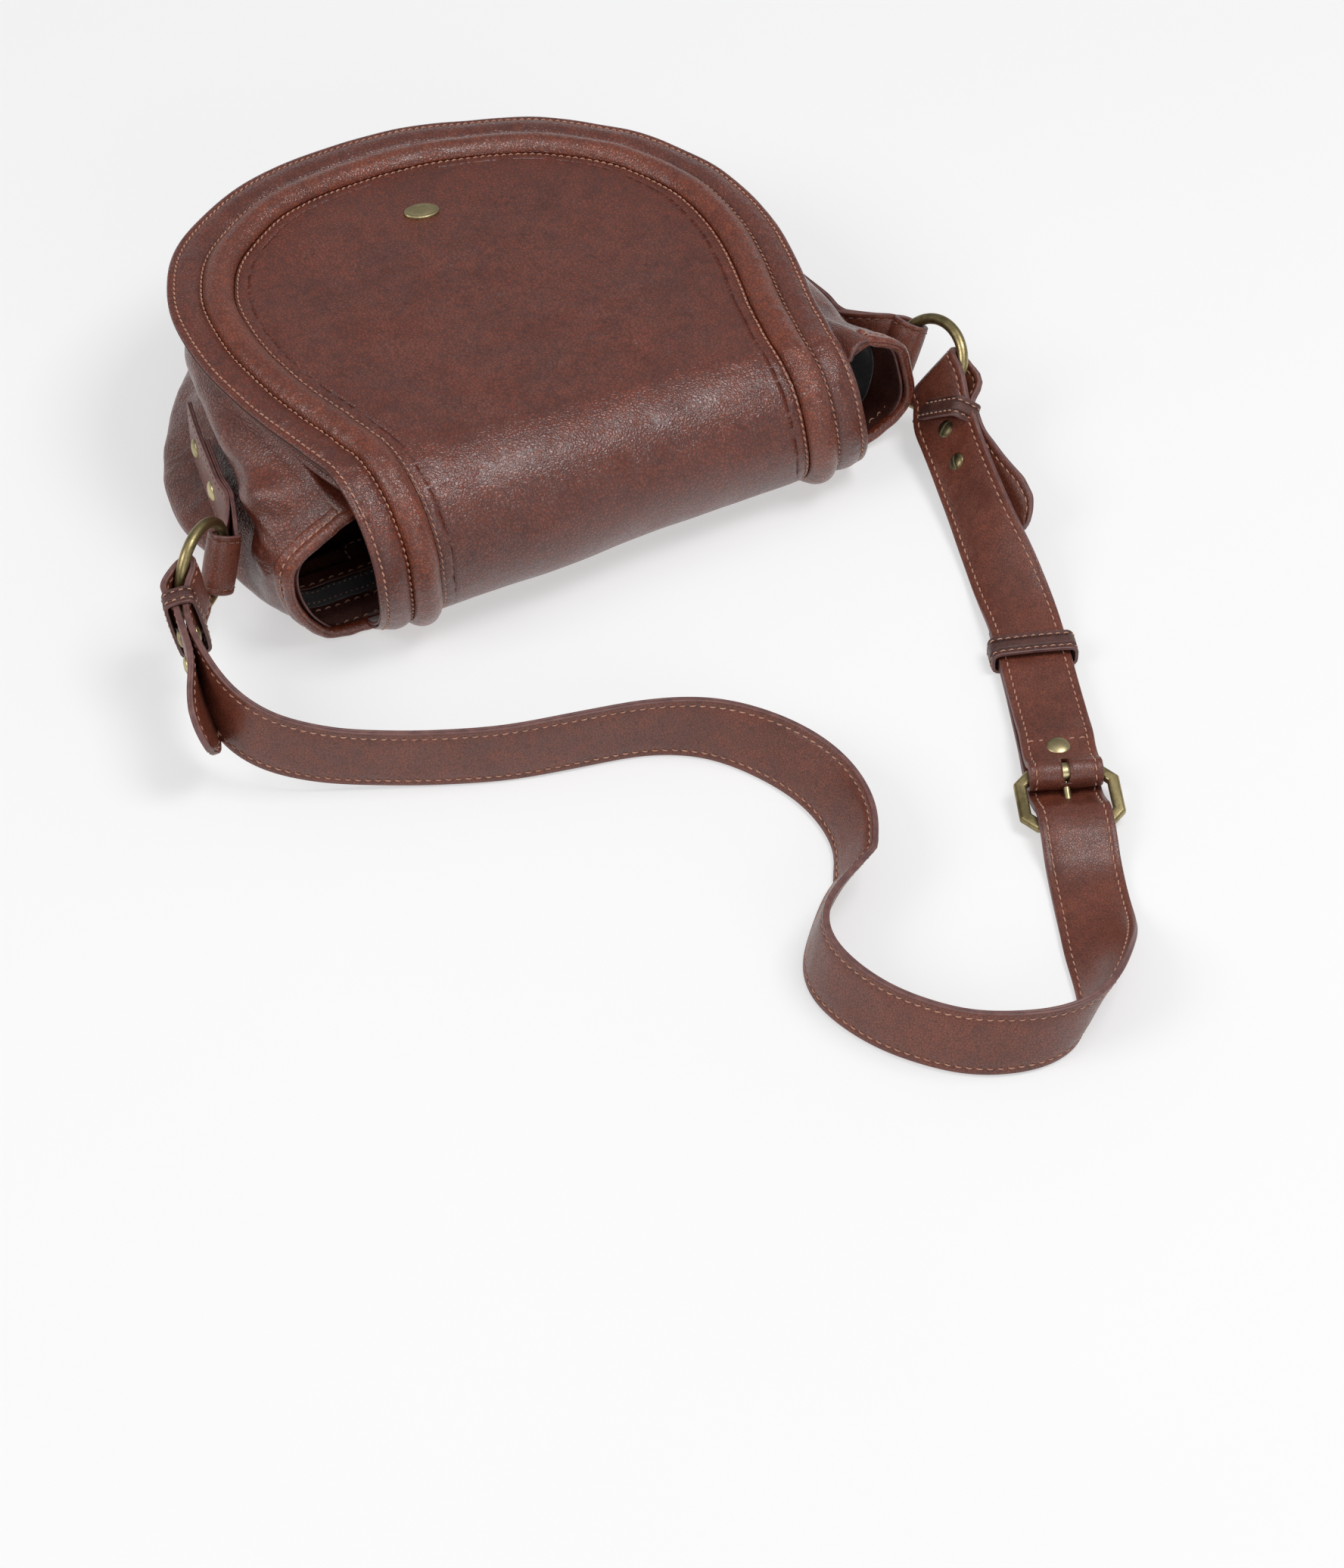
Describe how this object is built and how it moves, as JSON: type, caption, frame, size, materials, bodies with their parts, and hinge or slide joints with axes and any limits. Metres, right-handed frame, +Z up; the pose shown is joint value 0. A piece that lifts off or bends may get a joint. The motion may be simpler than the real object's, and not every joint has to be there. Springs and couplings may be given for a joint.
{
  "type": "crossbody saddle purse",
  "caption": "Saddle-shaped leather shoulder purse with a rounded fold-over flap, raised corded border, ring-mounted adjustable buckle strap and zipped inner pocket, lying on its back.",
  "frame": {"origin": "the middle of the bag's length and width on the floor plane, under the back panel", "axes": "+X across the bag, +Y from the folded top towards the rounded end of the flap, +Z up out of the flap"},
  "size_m": [0.3844, 0.5566, 0.0884],
  "materials": {
    "shell_leather": "satin, fine pebbled grain",
    "flap_leather": "satin, fine pebbled grain",
    "strap_leather": "satin, smooth",
    "lining_cloth": "matt black twill",
    "zip_cloth": "matt dark grey tape",
    "antique_brass": "brushed antique brass with dark patina",
    "zip_metal": "polished"
  },
  "bodies": {
    "bag": {"back_panel": "shell_leather", "front_panel": "shell_leather", "gusset": "shell_leather", "mouth_band_left": "shell_leather", "mouth_band_right": "shell_leather", "fold_spine": "shell_leather", "body_lining": "lining_cloth", "snap_lower": "antique_brass", "strap_long": "strap_leather", "strap_short": "strap_leather", "strap_keeper_left": "strap_leather", "strap_keeper_right": "strap_leather", "buckle_frame": "antique_brass", "buckle_rivet": "antique_brass", "screws_left": "antique_brass", "screws_right": "antique_brass", "posts_left": "antique_brass", "posts_right": "antique_brass", "tab_left": "strap_leather", "tab_right": "strap_leather", "tab_rivets_left": "antique_brass", "tab_rivets_right": "antique_brass", "pocket_facing": "shell_leather", "zip_tape": "zip_cloth", "zip_teeth": "zip_metal"},
    "flap": {"flap_panel": "flap_leather", "flap_border": "flap_leather", "flap_piping": "flap_leather", "flap_lining": "lining_cloth", "badge_plate": "antique_brass", "snap_upper": "antique_brass"},
    "ring_left": {"ring_left": "antique_brass"},
    "ring_right": {"ring_right": "antique_brass"},
    "keeper_mid": {"strap_keeper_mid": "strap_leather"},
    "prong": {"buckle_prong": "antique_brass"},
    "slider": {"zip_slider": "zip_metal"},
    "pull": {"zip_pull": "zip_metal"}
  },
  "joints": [
    {"name": "flap_hinge", "type": "hinge", "parent": "bag", "child": "flap", "pos_m": [0, -0.0825, 0.037], "axis": [0.9992, 0, -0.04], "range_deg": [0, 110]},
    {"name": "ring_left_spin", "type": "hinge", "parent": "bag", "child": "ring_left", "pos_m": [-0.1694, -0.0754, 0.0448], "axis": [0.6252, -0.7793, 0.043], "continuous": true},
    {"name": "ring_right_spin", "type": "hinge", "parent": "bag", "child": "ring_right", "pos_m": [0.1658, -0.0875, 0.03], "axis": [-0.842, -0.14, 0.521], "continuous": true},
    {"name": "keeper_slide", "type": "slide", "parent": "bag", "child": "keeper_mid", "axis": [0.3449, 0.9387, 0], "range_m": [-0.008, 0.008]},
    {"name": "prong_pivot", "type": "hinge", "parent": "bag", "child": "prong", "pos_m": [0.0975, -0.312, 0.0093], "axis": [0.9291, -0.3697, 0], "range_deg": [0, 1.5]},
    {"name": "zip_slide", "type": "slide", "parent": "bag", "child": "slider", "axis": [1, 0, 0], "range_m": [-0.012, 0.132]},
    {"name": "zip_pull_swing", "type": "hinge", "parent": "slider", "child": "pull", "pos_m": [-0.06, -0.066, 0.0094], "axis": [0, -1, 0], "range_deg": [0, 120]}
  ]
}
